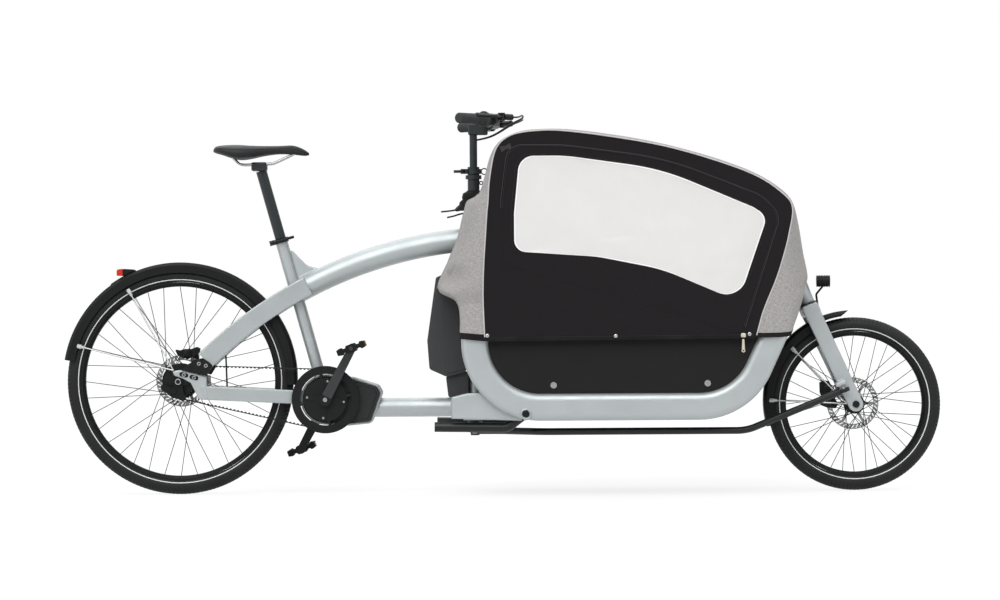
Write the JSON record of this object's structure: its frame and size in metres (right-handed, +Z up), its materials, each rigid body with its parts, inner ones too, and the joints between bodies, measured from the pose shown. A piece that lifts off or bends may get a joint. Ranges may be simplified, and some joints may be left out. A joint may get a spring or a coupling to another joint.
{
  "type": "cargo bicycle",
  "caption": "Front-loading cargo bicycle with a low box between U-shaped side rails, rain canopy, belt drive, rod steering and folding stand.",
  "frame": {"origin": "on the ground under the middle of the whole", "axes": "+X forward, +Y the rider's left, +Z up"},
  "size_m": [2.5274, 0.6414, 1.091],
  "materials": {
    "silver_paint": "satin silver paint",
    "silver_fork": "satin silver paint",
    "black_aluminium": "black anodised",
    "steel": "bright steel",
    "dark_lever": "black anodised",
    "rod_grey": "dark grey paint",
    "pulley": "black anodised",
    "belt_rubber": "matte rubber",
    "tyre": "matte rubber",
    "board": "black laminated board",
    "casing": "fine black texture",
    "lamp": "red lens",
    "cover": "grey melange cloth",
    "side_cloth": "black cloth",
    "bow": "mill finish",
    "saddle": "black cover"
  },
  "bodies": {
    "frame": {"top_tube": "silver_paint", "seat_tube": "silver_paint", "rear_stays": "silver_paint", "dropout_plates": "black_aluminium", "frame_bolts": "steel", "lower_frame": "silver_paint", "column_tube": "silver_paint", "side_rails": "silver_paint", "front_head_tube": "silver_paint", "cargo_floor": "board", "box_panels": "board", "motor_unit": "casing", "belt": "belt_rubber", "battery_mount": "casing", "rear_mudguard": "casing", "rear_light": "lamp", "rear_brake_caliper": "black_aluminium", "rear_axle": "steel", "canopy_bows": "bow", "canopy_cover": "cover", "canopy_sides": "side_cloth", "seat_clamp": "black_aluminium", "headset_bearings": "steel"},
    "door_right": {"canopy_door_right": "side_cloth"},
    "door_left": {"canopy_door_left": "side_cloth"},
    "battery_pack": {"battery": "casing"},
    "saddle_post": {"seat_post": "black_aluminium", "saddle": "saddle"},
    "saddle_clamp_lever": {"seat_clamp_lever": "dark_lever"},
    "column": {"steering_column": "black_aluminium"},
    "bar": {"stem": "black_aluminium", "handlebar": "black_aluminium", "grips": "belt_rubber", "brake_lever_clamps": "black_aluminium", "control_hoses": "belt_rubber"},
    "lever_right": {"brake_lever_right": "dark_lever"},
    "lever_left": {"brake_lever_left": "dark_lever"},
    "shifter": {"twist_shifter": "casing"},
    "column_lever": {"bar_clamp_lever": "dark_lever"},
    "rod_ball": {"tie_rod_ball": "steel"},
    "rod": {"tie_rod": "rod_grey"},
    "front_fork": {"fork": "silver_fork", "front_brake_caliper": "black_aluminium", "front_mudguard": "casing", "front_light": "casing", "front_axle": "steel"},
    "front_wheel": {"front_tyre": "tyre", "front_rim": "black_aluminium", "front_spokes": "steel", "front_hub": "black_aluminium"},
    "rear_wheel": {"rear_tyre": "tyre", "rear_rim": "black_aluminium", "rear_spokes": "steel", "rear_hub": "black_aluminium"},
    "crankset": {"crank_arms": "dark_lever", "front_pulley": "pulley"},
    "sprocket": {"rear_pulley": "pulley"},
    "right_pedal": {"pedal_right": "casing"},
    "left_pedal": {"pedal_left": "casing"},
    "stand": {"kickstand": "rod_grey"}
  },
  "joints": [
    {"name": "steer", "type": "hinge", "parent": "frame", "child": "column", "pos_m": [-0.08082, 0, 0.5], "axis": [0, 0, 1], "range_deg": [-28, 28]},
    {"name": "bar_height", "type": "slide", "parent": "column", "child": "bar", "axis": [0, 0, 1], "range_m": [0, 0.07]},
    {"name": "brake_right", "type": "hinge", "parent": "bar", "child": "lever_right", "pos_m": [0.00102, -0.22763, 1.074], "axis": [0, 0, -1], "range_deg": [0, 13], "stiffness_Nm_per_rad": 1},
    {"name": "brake_left", "type": "hinge", "parent": "bar", "child": "lever_left", "pos_m": [0.00102, 0.22763, 1.074], "axis": [0, 0, 1], "range_deg": [0, 13], "stiffness_Nm_per_rad": 1},
    {"name": "gear_twist", "type": "hinge", "parent": "bar", "child": "shifter", "pos_m": [-0.11882, -0.302, 1.068], "axis": [-0.6428, -0.766, 0], "range_deg": [-70, 70]},
    {"name": "column_clamp", "type": "hinge", "parent": "column", "child": "column_lever", "pos_m": [-0.11182, -0.014, 0.927], "axis": [0, 0, 1], "range_deg": [0, 95]},
    {"name": "rod_swivel", "type": "hinge", "parent": "column", "child": "rod_ball", "pos_m": [-0.08082, -0.09336, 0.181], "axis": [0, 0, 1], "range_deg": [-28, 28]},
    {"name": "rod_pitch", "type": "hinge", "parent": "rod_ball", "child": "rod", "pos_m": [-0.08082, -0.09336, 0.181], "axis": [0, -1, 0], "range_deg": [-1.2, 1.2]},
    {"name": "fork_steer", "type": "hinge", "parent": "frame", "child": "front_fork", "pos_m": [0.88218, 0, 0.537], "axis": [-0.3584, 0, 0.9336], "range_deg": [-28, 28]},
    {"name": "front_wheel_spin", "type": "hinge", "parent": "front_fork", "child": "front_wheel", "pos_m": [1.01418, 0, 0.2495], "axis": [0, 1, 0], "continuous": true},
    {"name": "rear_wheel_spin", "type": "hinge", "parent": "frame", "child": "rear_wheel", "pos_m": [-0.93082, 0, 0.3265], "axis": [0, 1, 0], "continuous": true},
    {"name": "crank_turn", "type": "hinge", "parent": "frame", "child": "crankset", "pos_m": [-0.50982, 0, 0.272], "axis": [0, 1, 0], "continuous": true},
    {"name": "sprocket_turn", "type": "hinge", "parent": "frame", "child": "sprocket", "pos_m": [-0.93082, 0, 0.3265], "axis": [0, 1, 0], "continuous": true},
    {"name": "right_pedal_spin", "type": "hinge", "parent": "crankset", "child": "right_pedal", "pos_m": [-0.43095, -0.14, 0.42034], "axis": [0, 1, 0], "continuous": true},
    {"name": "left_pedal_spin", "type": "hinge", "parent": "crankset", "child": "left_pedal", "pos_m": [-0.58869, 0.14, 0.12366], "axis": [0, 1, 0], "continuous": true},
    {"name": "stand_fold", "type": "hinge", "parent": "frame", "child": "stand", "pos_m": [0.06418, 0, 0.234], "axis": [0, -1, 0], "range_deg": [0, 95]},
    {"name": "saddle_height", "type": "slide", "parent": "frame", "child": "saddle_post", "axis": [-0.2689, 0, 0.9632], "range_m": [-0.05, 0.1]},
    {"name": "saddle_clamp", "type": "hinge", "parent": "frame", "child": "saddle_clamp_lever", "pos_m": [-0.66436, -0.014, 0.72325], "axis": [0.2689, 0, -0.9632], "range_deg": [0, 110]},
    {"name": "battery_release", "type": "slide", "parent": "frame", "child": "battery_pack", "axis": [-1, 0, 0], "range_m": [0, 0.12]},
    {"name": "right_door", "type": "hinge", "parent": "frame", "child": "door_right", "pos_m": [-0.00082, -0.28982, 0.655], "axis": [0.9587, -0.0213, -0.2835], "range_deg": [0, 140]},
    {"name": "left_door", "type": "hinge", "parent": "frame", "child": "door_left", "pos_m": [-0.00082, 0.28982, 0.655], "axis": [-0.9587, -0.0213, 0.2835], "range_deg": [0, 140]}
  ],
  "couplings": [
    {"joint": "rod_swivel", "follows": "steer", "ratio": -1},
    {"joint": "rod_pitch", "follows": "steer", "ratio": 0.0325},
    {"joint": "fork_steer", "follows": "steer", "ratio": 1},
    {"joint": "sprocket_turn", "follows": "crank_turn", "ratio": 1.8519}
  ]
}
